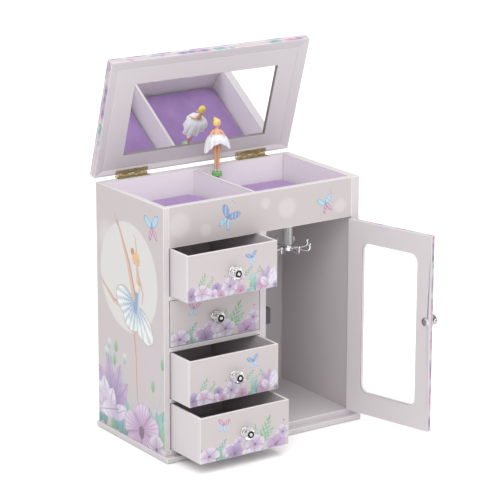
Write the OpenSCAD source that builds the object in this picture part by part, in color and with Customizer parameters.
// Musical jewellery cabinet with a dancer, four drawers and a necklace compartment.
// Millimetres. X to the right, Y to the back, Z up. Origin: centre of the body's footprint, underside of the base.

/* [Body] */
// Width of the body
body_w = 226; // [200:1:260]
// Depth of the body
body_d = 122; // [116:1:130]
// Height of the body, base plate included
body_h = 250; // [240:1:270]
// Thickness of the left wall and the back panel
wall_t = 6; // [4:0.5:7]
// Thickness of the right wall, which carries the door
right_wall_t = 9; // [8:0.5:11]
// Thickness of the upright partition
partition_t = 7; // [5:0.5:9]
// Height of the panel above the drawers and the door
top_panel_h = 39.5; // [36:0.5:44]

/* [Base] */
// Thickness of the base plate
base_t = 4.9; // [4:0.1:8]
// Thickness of the felt under the base plate
felt_t = 0.8; // [0.5:0.1:1.2]
// How far the base plate stands out at the front
base_front = 6.4; // [3:0.1:9]
// How far the base plate stands out at the sides and the back
base_side = 1.6; // [0.5:0.1:3]

/* [Drawers] */
// How far each drawer is pulled out, top to bottom
drawer_out = [29.8, 0, 32.5, 50.5];
// Depth of a drawer from front to back
drawer_d = 114; // [90:1:115]
// Thickness of a drawer's walls and bottom
drawer_wall = 2.6; // [2:0.1:3.5]
// Thickness of the shelves between the drawers
shelf_t = 4.3; // [3:0.1:5]
// Clearance round each drawer
drawer_gap = 0.6; // [0.4:0.1:1]

/* [Lid] */
// Angle that the lid stands open
lid_open = 72.8; // [0:0.1:74]
// Thickness of the lid
lid_t = 8.5; // [8:0.1:10]
// How far the lid stands out at the sides
lid_side = 1.1; // [0.5:0.1:2]
// How far the lid stands out at the front
lid_front = 2.8; // [1:0.1:4]
// Width of the sloped band round the lid's inside
lid_band = 9.9; // [8:0.1:12]

/* [Door] */
// Angle that the door stands open
door_open = 105.5; // [0:0.5:150]
// Thickness of the door
door_t = 4.8; // [4:0.1:6]
// Width of the door's window
window_w = 66.7; // [50:0.1:70]
// Height of the door's window
window_h = 153.5; // [120:0.5:160]
// Corner radius of the door's window
window_r = 8; // [4:0.5:12]

/* [Dancer] */
// Where the dancer stands, from the centre of the body
dancer_xy = [12.5, 38.5];
// Height of the dancer's green stand above the underside of the base
stand_z = 243.2; // [242:0.1:245]
// Radius of the skirt
skirt_r = 12.5; // [9:0.5:12.5]

/* [Necklace carousel] */
// Where the carousel hangs, from the centre of the body
carousel_xy = [60, -16];
// Number of hooks
hook_count = 8; // [4:1:10]
// Radius of the circle of hooks
hook_ring_r = 23; // [16:1:25]

/* [Hidden] */
$fn = 48;

paper = [0.84, 0.81, 0.82];
velvet = [0.60, 0.48, 0.70];
brass = [0.56, 0.45, 0.24];
steel = [0.72, 0.72, 0.74];
crystal = [0.86, 0.88, 0.90];

// Faces of the body
x_left = -body_w / 2;
x_right = body_w / 2;
y_front = -body_d / 2;
y_back = body_d / 2;
in_left = x_left + wall_t;
in_right = x_right - right_wall_t;
in_front = y_front + wall_t;
in_back = y_back - wall_t;
base_top = felt_t + base_t;
floor_z = base_top + 5.7;
part_x0 = -4;
part_x1 = part_x0 + partition_t;

// Tray on top of the drawers and the compartment
tray_z = body_h - top_panel_h;
board_t = 5;
board_top = tray_z + board_t;
pad_t = 10;
pad_top = board_top + pad_t;
divider_x = -4;
divider_t = 3;

// Drawer openings share the height between the floor and the tray board
slots = 4;
slot_pitch = (tray_z - floor_z + shelf_t) / slots;
slot_h = slot_pitch - shelf_t;
drawer_x0 = in_left + 1.2;
drawer_x1 = part_x0 - 0.8;
function slot_z(n) = tray_z - n * slot_pitch + shelf_t;

// Lid hinge: axis line and leaves
lid_gap = 1.7;
rim_z = body_h + lid_gap;
lid_axis_y = y_back + 1.3;
lid_axis_z = body_h + 1.5;
lid_rear = y_back - 0.4;
leaf_w = 36;
leaf_t = 0.8;
lid_leaf_x = [-90, 50];
screw_r = 1.3;
screw_inset = 7;
body_screw_y = in_back + 3;
lid_screw_y = in_back + 3.2;
knuckle_r = 1.1;
lid_pin_r = 0.55;
running_gap = 0.05;

// Door hinge: axis line and leaves
door_axis_x = in_right;
door_axis_y = y_front - 0.3;
door_gap = 0.5;
door_x0 = part_x1 + 0.2;
door_x1 = in_right - 0.4;
door_z0 = floor_z + door_gap;
door_z1 = tray_z - 1.2;
door_leaf_h = 16;
door_leaf_z = [32, 172];
window_x1 = door_x1 - 17;
window_x0 = window_x1 - window_w;
window_z0 = 34.5;
lining_t = 0.8;
pane_t = 1;
pane_lap = 3;
door_knob_x = door_x1 - 95.3;
door_knob_z = 123;

// Music movement below the tray board
gear_m = 0.5;
level_a = 203.5;
level_b = 200;
gear_t = 2;
out_teeth = 30;
cylinder_teeth = 30;
cylinder_pinion = 20;
barrel_teeth = 44;
fan_pinion = 10;
function pitch_r(teeth) = gear_m * teeth / 2;
cylinder_xy = dancer_xy + [pitch_r(out_teeth) + pitch_r(cylinder_teeth), 0];
barrel_xy = cylinder_xy + [pitch_r(cylinder_pinion) + pitch_r(barrel_teeth), 0];
fan_xy = cylinder_xy + [0, pitch_r(cylinder_teeth) + pitch_r(fan_pinion)];
drum_z0 = 187.5;
drum_z1 = 199.5;
frame_z0 = 184.7;
frame_z1 = 207;
frame_t = 1.6;
cover_t = 1.2;
cover_x1 = 60;
cover_y0 = 14;
cover_z0 = 183;
arbor_z = 193;
arbor_r = 1.5;
stop_xy = [21.7, 52];
stop_tip_z = 256.4;
stop_foot_z = 196;
stop_r = 0.8;
stop_arm = 3.8;
stop_arm_drop = 1.9;

// Dancer
spring_r = 2.2;
seat_top = 221;
stand_r = 5.15;
stand_h = 4.6;
feet_z = stand_z + stand_h;

// Carousel
post_r = 4.6;
hub_z0 = 172.5;
hub_h = 6;
spigot_r = 3;

module slab(x0, x1, y0, y1, z0, z1) {
    translate([x0, y0, z0]) cube([x1 - x0, y1 - y0, z1 - z0]);
}

module lid_place() {
    translate([0, lid_axis_y, lid_axis_z]) rotate([-lid_open, 0, 0])
        translate([0, -lid_axis_y, -lid_axis_z]) children();
}

module door_place() {
    translate([door_axis_x, door_axis_y, 0]) rotate([0, 0, door_open])
        translate([-door_axis_x, -door_axis_y, 0]) children();
}

module drawer_place(n) {
    translate([0, -drawer_out[n - 1], 0]) children();
}

// Rounded window as straight bars and quarter discs, so that its corners stay true arcs
module window_hole(grow, y0, y1) {
    w = window_w + 2 * grow;
    h = window_h + 2 * grow;
    r = window_r;
    translate([window_x0 - grow, y1, window_z0 - grow]) rotate([90, 0, 0]) linear_extrude(y1 - y0) {
        translate([r, 0]) square([w - 2 * r, h]);
        translate([0, r]) square([w, h - 2 * r]);
        for (x = [r, w - r], z = [r, h - r]) translate([x, z]) circle(r);
    }
}

// Spur gear: straight-sided teeth with generous backlash
module gear(teeth, t, phase = 0) {
    pitch_a = 360 / teeth;
    r = pitch_r(teeth);
    function corner(a, rad) = [rad * cos(a), rad * sin(a)];
    rotate([0, 0, phase]) linear_extrude(t)
        polygon([for (i = [0 : teeth - 1]) each [
            corner(i * pitch_a - 0.30 * pitch_a, r - 1.35 * gear_m),
            corner(i * pitch_a - 0.09 * pitch_a, r + 0.8 * gear_m),
            corner(i * pitch_a + 0.09 * pitch_a, r + 0.8 * gear_m),
            corner(i * pitch_a + 0.30 * pitch_a, r - 1.35 * gear_m)
        ]]);
}

// Base and body
module base_felt() {
    inset = 2;
    color([0.35, 0.28, 0.38]) slab(x_left - base_side + inset, x_right + base_side - inset,
        y_front - base_front + inset, y_back + base_side - inset, 0, felt_t);
}

module base_plate() {
    color(paper) slab(x_left - base_side, x_right + base_side, y_front - base_front, y_back + base_side,
        felt_t, base_top);
}

module left_wall() {
    color(paper) slab(x_left, in_left, y_front, y_back, base_top, body_h);
}

module right_wall() {
    relief_r = knuckle_r + 0.25;
    color(paper) difference() {
        slab(in_right, x_right, y_front, y_back, base_top, body_h);
        for (z = door_leaf_z) translate([door_axis_x, door_axis_y, z - 0.5]) cylinder(door_leaf_h + 1, r = relief_r);
    }
}

module back_panel() {
    hole_r = arbor_r + running_gap;
    color(paper) difference() {
        slab(in_left, in_right, in_back, y_back, base_top, body_h);
        translate([barrel_xy[0], y_back + 1, arbor_z]) rotate([90, 0, 0]) cylinder(wall_t + 2, r = hole_r);
    }
}

module bottom_board() {
    color(paper) slab(in_left, in_right, y_front, in_back, base_top, floor_z);
}

module partition() {
    color(paper) slab(part_x0, part_x1, y_front, in_back, floor_z, tray_z);
}

module shelf(n) {
    z = slot_z(n) - shelf_t;
    color(paper) slab(in_left, part_x0, y_front, in_back, z, z + shelf_t);
}
module shelf_1() { shelf(1); }
module shelf_2() { shelf(2); }
module shelf_3() { shelf(3); }

module tray_board() {
    color(paper) difference() {
        slab(in_left, in_right, in_front, in_back, tray_z, board_top);
        translate([dancer_xy[0], dancer_xy[1], tray_z - 1]) cylinder(board_t + 2, r = arbor_r + running_gap);
        translate([stop_xy[0], stop_xy[1], tray_z - 1]) cylinder(board_t + 2, r = stop_r + running_gap);
        translate([carousel_xy[0], carousel_xy[1], tray_z - 1]) cylinder(board_t + 2, r = spigot_r + running_gap);
    }
}

module front_top_panel() {
    color(paper) slab(in_left, in_right, y_front, in_front, tray_z, body_h);
}

module tray_divider() {
    color(paper) slab(divider_x, divider_x + divider_t, in_front, in_back, board_top, body_h - 2);
}

module left_tray_pad() {
    color(velvet) slab(in_left + 0.5, divider_x - 0.5, in_front + 0.5, in_back - 0.5, board_top, pad_top);
}

module right_tray_pad() {
    color(velvet) difference() {
        slab(divider_x + divider_t + 0.5, in_right - 0.5, in_front + 0.5, in_back - 0.5, board_top, pad_top);
        translate([dancer_xy[0], dancer_xy[1], board_top - 1]) cylinder(pad_t + 2, r = stand_r + 1.2);
        translate([stop_xy[0], stop_xy[1], board_top - 1]) cylinder(pad_t + 2, r = 1.6);
    }
}

module door_magnet() {
    color([0.25, 0.23, 0.26]) slab(part_x1, part_x1 + 10, y_front + door_t + 1.4, y_front + door_t + 10,
        door_knob_z - 8, door_knob_z + 8);
}

// Hinges. A leaf is a plate with knuckles along its edge; the two leaves of a hinge share the length in turns
module knuckles(length, parts, first, r, hole) {
    step = length / parts;
    for (i = [first : 2 : parts - 1]) translate([0, 0, i * step + 0.1]) difference() {
        cylinder(step - 0.2, r = r);
        translate([0, 0, -1]) cylinder(step + 2, r = hole);
    }
}

// Countersunk places of the screws in the lid hinges
module at_lid_screws(y) {
    for (x = lid_leaf_x, dx = [screw_inset, leaf_w - screw_inset]) translate([x + dx, y, 0]) children();
}

module screw_head(z) {
    difference() {
        translate([0, 0, z]) cylinder(leaf_t - 0.05, r = screw_r);
        for (dz = [-0.25, leaf_t - 0.3]) translate([-screw_r, -0.2, z + dz]) cube([2 * screw_r, 0.4, 0.5]);
    }
}

module lid_hinge_body_leaves() {
    color(brass) for (x = lid_leaf_x) {
        difference() {
            slab(x, x + leaf_w, in_back + 0.5, y_back - 0.2, body_h, body_h + leaf_t);
            at_lid_screws(body_screw_y) translate([0, 0, body_h - 1]) cylinder(3, r = screw_r + 0.05);
        }
        translate([x, lid_axis_y, lid_axis_z]) rotate([0, 90, 0])
            knuckles(leaf_w, 5, 0, knuckle_r, lid_pin_r + running_gap);
        for (i = [0 : 2 : 4]) translate([x + i * leaf_w / 5 + 0.1, y_back - 0.4, body_h]) {
            cube([leaf_w / 5 - 0.2, 0.6, leaf_t]);
            translate([0, 0.5, leaf_t - 0.5]) cube([leaf_w / 5 - 0.2, 0.5, 0.7]);
        }
    }
}

module lid_hinge_body_screws() {
    color(brass) at_lid_screws(body_screw_y) screw_head(body_h);
}

module hinge_pins() {
    color(steel) {
        for (x = lid_leaf_x) translate([x - 0.4, lid_axis_y, lid_axis_z]) rotate([0, 90, 0])
            cylinder(leaf_w + 0.8, r = lid_pin_r);
        for (z = door_leaf_z) translate([door_axis_x, door_axis_y, z - 0.4])
            cylinder(door_leaf_h + 0.8, r = lid_pin_r);
    }
}

module door_hinge_body_leaves() {
    color(brass) for (z = door_leaf_z) {
        slab(door_axis_x + 1.6, x_right - 1, y_front - 0.6, y_front, z, z + door_leaf_h);
        translate([door_axis_x, door_axis_y, z])
            knuckles(door_leaf_h, 3, 0, knuckle_r, lid_pin_r + running_gap);
        for (i = [0, 2]) translate([door_axis_x + 0.8, y_front - 0.6, z + i * door_leaf_h / 3 + 0.1])
            cube([1.2, 0.6, door_leaf_h / 3 - 0.2]);
    }
}

// Music movement
module movement_cover() {
    color(paper) {
        slab(part_x1, cover_x1, cover_y0, in_back, cover_z0, cover_z0 + cover_t);
        slab(part_x1, cover_x1, cover_y0, cover_y0 + cover_t, cover_z0, tray_z);
        slab(cover_x1 - cover_t, cover_x1, cover_y0, in_back, cover_z0, tray_z);
    }
}

module movement_frame() {
    x0 = part_x1 + 1;
    x1 = cover_x1 - cover_t - 1;
    y1 = in_back - 0.5;
    posts = [[56, 28], [56, 52], [6.5, 27.5], [6.5, 51.5]];
    bores = [[dancer_xy, arbor_r], [cylinder_xy, 1], [barrel_xy, arbor_r], [fan_xy, 0.6]];
    color(steel) difference() {
        union() {
            slab(x0, x1, cover_y0 + 2, y1, frame_z1, frame_z1 + frame_t);
            slab(x0, x1, 26, y1, frame_z0, frame_z0 + frame_t);
            for (p = posts) translate([p[0], p[1], frame_z0]) cylinder(tray_z - frame_z0, r = 1.8);
            slab(cylinder_xy[0] + 0.5, cylinder_xy[0] + 6, 17, 23, drum_z0, frame_z1);
        }
        for (b = bores) translate([b[0][0], b[0][1], frame_z0 - 1])
            cylinder(tray_z - frame_z0, r = b[1] + running_gap);
        translate([stop_xy[0], stop_xy[1], frame_z0 - 1]) cylinder(tray_z - frame_z0, r = 1.4);
    }
}

module music_comb() {
    tips = cylinder_xy[1] - 6.9;
    teeth = 14;
    pitch = (drum_z1 - drum_z0) / teeth;
    color(steel) difference() {
        slab(cylinder_xy[0] - 0.5, cylinder_xy[0] + 0.5, 17.5, tips, drum_z0, drum_z1);
        for (i = [1 : teeth - 1]) slab(cylinder_xy[0] - 1, cylinder_xy[0] + 1, 22.5 + 0.2 * i, tips + 1,
            drum_z0 + i * pitch - 0.15, drum_z0 + i * pitch + 0.15);
    }
}

module pinned_cylinder() {
    drum_r = 6;
    color(brass) translate([cylinder_xy[0], cylinder_xy[1], 0]) {
        translate([0, 0, frame_z0]) cylinder(frame_z1 + frame_t - frame_z0, r = 1);
        translate([0, 0, drum_z0]) cylinder(drum_z1 - drum_z0, r = drum_r);
        translate([0, 0, level_b]) gear(cylinder_pinion, gear_t);
        translate([0, 0, level_a]) gear(cylinder_teeth, gear_t);
        translate([0, 0, drum_z1 - 0.1]) cylinder(level_a + gear_t - drum_z1, r = 3);
        for (i = [0 : 27]) rotate([0, 0, i * 97]) translate([drum_r - 0.3, 0, drum_z0 + 1 + (i % 14) * 0.78])
            rotate([0, 90, 0]) cylinder(0.7, r = 0.22, $fn = 16);
    }
}

module spring_barrel() {
    color(brass) translate([barrel_xy[0], barrel_xy[1], 0]) {
        translate([0, 0, frame_z0]) cylinder(frame_z1 + frame_t - frame_z0, r = arbor_r);
        translate([0, 0, drum_z0]) cylinder(drum_z1 - drum_z0 + 1, r = 8.9);
        translate([0, 0, level_b]) gear(barrel_teeth, gear_t, 180 + 180 / barrel_teeth);
    }
}

module governor_fan() {
    color(steel) translate([fan_xy[0], fan_xy[1], 0]) {
        translate([0, 0, frame_z0]) cylinder(frame_z1 + frame_t - frame_z0, r = 0.6);
        translate([0, 0, level_a]) gear(fan_pinion, gear_t, -90);
        for (a = [0, 90]) rotate([0, 0, a]) translate([-2.2, -0.2, drum_z0 + 1])
            cube([4.4, 0.4, drum_z1 - drum_z0 - 2]);
    }
}

module output_spindle() {
    color(steel) translate([dancer_xy[0], dancer_xy[1], 0]) {
        translate([0, 0, level_a - 4]) cylinder(seat_top - level_a + 3, r = arbor_r);
        translate([0, 0, level_a]) gear(out_teeth, gear_t, 180 / out_teeth);
        translate([0, 0, board_top + 0.3]) cylinder(seat_top - board_top - 0.3, r = 4.4);
    }
}

module winding_arbor() {
    color(steel) translate([barrel_xy[0], y_back + 8, arbor_z]) rotate([90, 0, 0]) cylinder(20, r = arbor_r);
}

module winding_key() {
    wing = 5;
    wing_x = 7;
    color(brass) translate([barrel_xy[0], y_back + 9.5, arbor_z]) rotate([90, 0, 0]) difference() {
        union() {
            cylinder(7.5, r = 3.2);
            translate([0, 0, -wing / 2]) rotate([90, 0, 0]) linear_extrude(2, center = true) difference() {
                union() {
                    for (s = [-1, 1]) translate([s * wing_x, 0]) circle(wing);
                    translate([-wing_x, -2]) square([2 * wing_x, 5.5]);
                }
                for (s = [-1, 1]) translate([s * wing_x, 0]) circle(wing - 2.8);
            }
        }
        translate([0, 0, 1.5]) cylinder(8, r = arbor_r);
    }
}

module music_stop_pin() {
    color(steel) translate([stop_xy[0], stop_xy[1], 0]) {
        translate([0, 0, stop_foot_z]) cylinder(stop_tip_z - stop_r - stop_foot_z, r = stop_r);
        translate([0, 0, stop_tip_z - stop_r]) sphere(stop_r);
        translate([0, 0, level_a - stop_arm_drop]) rotate([0, 90, -31]) cylinder(stop_arm, r = 0.5);
    }
}

// Dancer
module dancer_spring() {
    turns = 20;
    pitch = (stand_z - seat_top) / turns;
    color([0.12, 0.12, 0.13]) translate([dancer_xy[0], dancer_xy[1], seat_top]) rotate_extrude()
        polygon(concat([[0.9, 0]], [for (i = [0 : 2 * turns]) [spring_r - 0.35 * (i % 2), i * pitch / 2]],
            [[0.9, turns * pitch]]));
}

module dancer_stand() {
    color([0.40, 0.70, 0.34]) translate([dancer_xy[0], dancer_xy[1], stand_z]) rotate_extrude()
        polygon([[0, 0], [stand_r - 0.6, 0], [stand_r, 0.6], [stand_r, stand_h - 0.6], [stand_r - 0.6, stand_h],
            [0, stand_h]]);
}

module limb(from, to, r0, r1) {
    d = to - from;
    length = norm(d);
    translate(from) rotate([0, acos(d[2] / length), atan2(d[1], d[0])]) cylinder(length, r1 = r0, r2 = r1);
}

module dancer_figure() {
    color([0.93, 0.74, 0.64]) translate([dancer_xy[0], dancer_xy[1], feet_z]) {
        for (s = [-1, 1]) translate([s * 1.75, 0, 0]) cylinder(25, r1 = 1.2, r2 = 1.7);
        translate([0, 0, 24]) rotate_extrude()
            polygon([[0, 0], [3.2, 0], [3.4, 3], [2.5, 7], [3.1, 12], [3.3, 14.5], [1.3, 16.5], [1.2, 19], [0, 19]]);
        translate([0, 0, 45.5]) sphere(3.6);
        translate([0, 1.6, 49.6]) sphere(2.4);
        for (s = [-1, 1]) {
            limb([s * 2, 0, 37.2], [s * 7.4, -1, 31], 1.3, 1.0);
            limb([s * 7, -0.8, 31.8], [s * 8.2, -2.2, 25.5], 0.85, 0.75);
        }
    }
}

module dancer_skirt() {
    r0 = 3.45;
    color([0.94, 0.93, 0.95]) translate([dancer_xy[0], dancer_xy[1], feet_z]) rotate_extrude()
        polygon([[r0, 24], [skirt_r - 3, 18], [skirt_r, 17.5], [skirt_r, 18.3], [skirt_r - 4, 23], [r0, 28]]);
}

// Necklace carousel
module carousel_post() {
    color(crystal) translate([carousel_xy[0], carousel_xy[1], 0]) {
        translate([0, 0, hub_z0 + hub_h]) cylinder(tray_z - 0.3 - hub_z0 - hub_h, r = post_r);
        translate([0, 0, tray_z - 1]) cylinder(board_t + 0.8, r = spigot_r);
        translate([0, 0, tray_z - 2.3]) cylinder(2, r = post_r + 3);
    }
}

module carousel_hooks() {
    wire = 1.1;
    reach = hook_ring_r - post_r + 1;
    tip_h = 8.5;
    color(steel) translate([carousel_xy[0], carousel_xy[1], hub_z0]) {
        cylinder(hub_h, r = post_r + 0.8);
        for (i = [0 : hook_count - 1]) rotate([0, 0, -6 - i * 360 / hook_count]) {
            translate([post_r - 1, 0, wire]) rotate([0, 90, 0]) cylinder(reach, r = wire);
            translate([hook_ring_r, 0, wire]) sphere(wire);
            translate([hook_ring_r, 0, wire]) cylinder(tip_h, r = wire);
            translate([hook_ring_r, 0, wire + tip_h]) sphere(1.5);
        }
    }
}

// Lid, modelled closed
lid_x = body_w / 2 + lid_side;
lid_y0 = y_front - lid_front;
rim_top = rim_z + lid_t - 2.6;
panel_z = rim_z + 2.2;
panel_t = 2;
rear_band = 5.5;
mirror_x = 82.8;
mirror_y = [-36.5, 41];
mirror_lap = 2.5;

module lid_rim() {
    flat = 1.5;
    color(paper) lid_place() difference() {
        slab(-lid_x, lid_x, lid_y0, lid_rear, rim_z, rim_top);
        slab(-lid_x + lid_band, lid_x - lid_band, lid_y0 + lid_band, lid_rear - rear_band, rim_z, rim_top + 1);
        hull() {
            slab(-lid_x + flat, lid_x - flat, lid_y0 + flat, lid_rear - flat, rim_z - 0.01, rim_z);
            slab(-lid_x + lid_band, lid_x - lid_band, lid_y0 + lid_band, lid_rear - rear_band,
                panel_z - 0.01, panel_z);
        }
        for (x = lid_leaf_x) slab(x - 0.3, x + leaf_w + 0.3, in_back, lid_rear + 1, rim_z - 1, rim_z + 0.1);
    }
}

module lid_top_board() {
    color(paper) lid_place() slab(-lid_x, lid_x, lid_y0, lid_rear, rim_top, rim_z + lid_t);
}

module lid_panel() {
    color(paper) lid_place() difference() {
        slab(-lid_x + lid_band, lid_x - lid_band, lid_y0 + lid_band, lid_rear - rear_band,
            panel_z, panel_z + panel_t);
        slab(-mirror_x, mirror_x, mirror_y[0], mirror_y[1], panel_z - 1, panel_z + panel_t + 1);
    }
}

module lid_mirror() {
    color([0.80, 0.84, 0.88]) lid_place() slab(-mirror_x - mirror_lap, mirror_x + mirror_lap,
        mirror_y[0] - mirror_lap, mirror_y[1] + mirror_lap, panel_z + panel_t, panel_z + panel_t + 1.6);
}

module lid_hinge_lid_leaves() {
    z0 = rim_z + 0.1 - leaf_t;
    color(brass) lid_place() for (x = lid_leaf_x) {
        difference() {
            slab(x, x + leaf_w, in_back + 0.8, lid_rear - 0.2, z0, z0 + leaf_t);
            at_lid_screws(lid_screw_y) translate([0, 0, z0 - 1]) cylinder(3, r = screw_r + 0.05);
        }
        translate([x, lid_axis_y, lid_axis_z]) rotate([0, 90, 0])
            knuckles(leaf_w, 5, 1, knuckle_r, lid_pin_r + running_gap);
        for (i = [1 : 2 : 3]) translate([x + i * leaf_w / 5 + 0.1, lid_rear - 0.4, z0])
            cube([leaf_w / 5 - 0.2, lid_axis_y - lid_rear - 0.3, leaf_t]);
    }
}

module lid_hinge_lid_screws() {
    color(brass) lid_place() at_lid_screws(lid_screw_y) screw_head(rim_z + 0.15 - leaf_t);
}

// Door, modelled closed
module door_slab(y0, y1) {
    relief_r = knuckle_r + 0.25;
    difference() {
        slab(door_x0, door_x1, y0, y1, door_z0, door_z1);
        window_hole(0, y0 - 1, y1 + 1);
        for (z = door_leaf_z) translate([door_axis_x, door_axis_y, z - 0.5]) cylinder(door_leaf_h + 1, r = relief_r);
        translate([door_knob_x, y1 + 1, door_knob_z]) rotate([90, 0, 0]) cylinder(door_t + 2, r = 1.6);
    }
}

module door_panel() {
    y1 = y_front + door_t - lining_t;
    color(paper) door_place() difference() {
        door_slab(y_front, y1);
        window_hole(pane_lap, y1 - pane_t, y1 + 1);
    }
}

module door_lining() {
    color(paper) door_place() door_slab(y_front + door_t - lining_t, y_front + door_t);
}

module door_window() {
    y1 = y_front + door_t - lining_t;
    color([0.85, 0.92, 0.95, 0.3]) door_place() window_hole(pane_lap - 0.2, y1 - pane_t, y1);
}

module knob_turned(length, r) {
    rotate_extrude()
        polygon([[0, 0], [r * 0.66, 0], [r * 0.66, 0.8], [r * 0.42, 1.2], [r * 0.42, length * 0.28],
            [r * 0.80, length * 0.38], [r, length * 0.58], [r * 0.94, length * 0.76], [r * 0.62, length * 0.96],
            [r * 0.36, length], [0, length]]);
}

module door_knob() {
    color(crystal) door_place() translate([door_knob_x, y_front, door_knob_z]) rotate([90, 0, 0]) {
        knob_turned(10, 6.3);
        translate([0, 0, -door_t]) cylinder(door_t + 0.1, r = 1.5);
    }
}

module door_strike() {
    color(steel) door_place() translate([door_knob_x, y_front + door_t, door_knob_z]) rotate([-90, 0, 0])
        rotate_extrude() polygon([[0, 0], [4.5, 0], [4.3, 0.6], [2.2, 1], [0, 1]]);
}

module door_hinge_door_leaves() {
    color(brass) door_place() for (z = door_leaf_z) {
        slab(door_x1 - 8, door_axis_x - 1.6, y_front - 0.6, y_front, z, z + door_leaf_h);
        translate([door_axis_x, door_axis_y, z])
            knuckles(door_leaf_h, 3, 1, knuckle_r, lid_pin_r + running_gap);
        translate([door_axis_x - 2, y_front - 0.6, z + door_leaf_h / 3 + 0.1])
            cube([1.2, 0.6, door_leaf_h / 3 - 0.2]);
    }
}

// Drawers, modelled closed and slid out
module drawer_front(n) {
    z0 = slot_z(n) + drawer_gap;
    color(paper) drawer_place(n) difference() {
        slab(drawer_x0, drawer_x1, y_front, y_front + drawer_wall, z0, z0 + slot_h - 2 * drawer_gap);
        translate([(drawer_x0 + drawer_x1) / 2, y_front + drawer_wall + 1, z0 + slot_h / 2 - drawer_gap])
            rotate([90, 0, 0]) cylinder(drawer_wall + 2, r = 1.6);
    }
}

module drawer_tray(n) {
    z0 = slot_z(n) + drawer_gap;
    z1 = z0 + slot_h - 2 * drawer_gap;
    w = drawer_wall;
    color(paper) drawer_place(n) difference() {
        slab(drawer_x0, drawer_x1, y_front + w, y_front + drawer_d, z0, z1);
        slab(drawer_x0 + w, drawer_x1 - w, y_front + w - 1, y_front + drawer_d - w, z0 + w, z1 + 1);
    }
}

module drawer_knob(n) {
    color(crystal) drawer_place(n)
        translate([(drawer_x0 + drawer_x1) / 2, y_front, slot_z(n) + slot_h / 2]) rotate([90, 0, 0]) {
            knob_turned(11, 6.5);
            translate([0, 0, -drawer_wall - 0.9]) cylinder(drawer_wall + 1, r = 1.5);
            translate([0, 0, -drawer_wall - 1]) cylinder(1, r = 3);
        }
}

module drawer_1_front() { drawer_front(1); }
module drawer_1_tray() { drawer_tray(1); }
module drawer_1_knob() { drawer_knob(1); }
module drawer_2_front() { drawer_front(2); }
module drawer_2_tray() { drawer_tray(2); }
module drawer_2_knob() { drawer_knob(2); }
module drawer_3_front() { drawer_front(3); }
module drawer_3_tray() { drawer_tray(3); }
module drawer_3_knob() { drawer_knob(3); }
module drawer_4_front() { drawer_front(4); }
module drawer_4_tray() { drawer_tray(4); }
module drawer_4_knob() { drawer_knob(4); }

base_felt();
base_plate();
left_wall();
right_wall();
back_panel();
bottom_board();
partition();
shelf_1();
shelf_2();
shelf_3();
tray_board();
front_top_panel();
tray_divider();
left_tray_pad();
right_tray_pad();
door_magnet();
lid_hinge_body_leaves();
lid_hinge_body_screws();
hinge_pins();
door_hinge_body_leaves();
movement_cover();
movement_frame();
music_comb();
pinned_cylinder();
spring_barrel();
governor_fan();
output_spindle();
winding_arbor();
winding_key();
music_stop_pin();
dancer_spring();
dancer_stand();
dancer_figure();
dancer_skirt();
carousel_post();
carousel_hooks();
lid_rim();
lid_top_board();
lid_panel();
lid_mirror();
lid_hinge_lid_leaves();
lid_hinge_lid_screws();
door_panel();
door_lining();
door_window();
door_knob();
door_strike();
door_hinge_door_leaves();
drawer_1_front();
drawer_1_tray();
drawer_1_knob();
drawer_2_front();
drawer_2_tray();
drawer_2_knob();
drawer_3_front();
drawer_3_tray();
drawer_3_knob();
drawer_4_front();
drawer_4_tray();
drawer_4_knob();
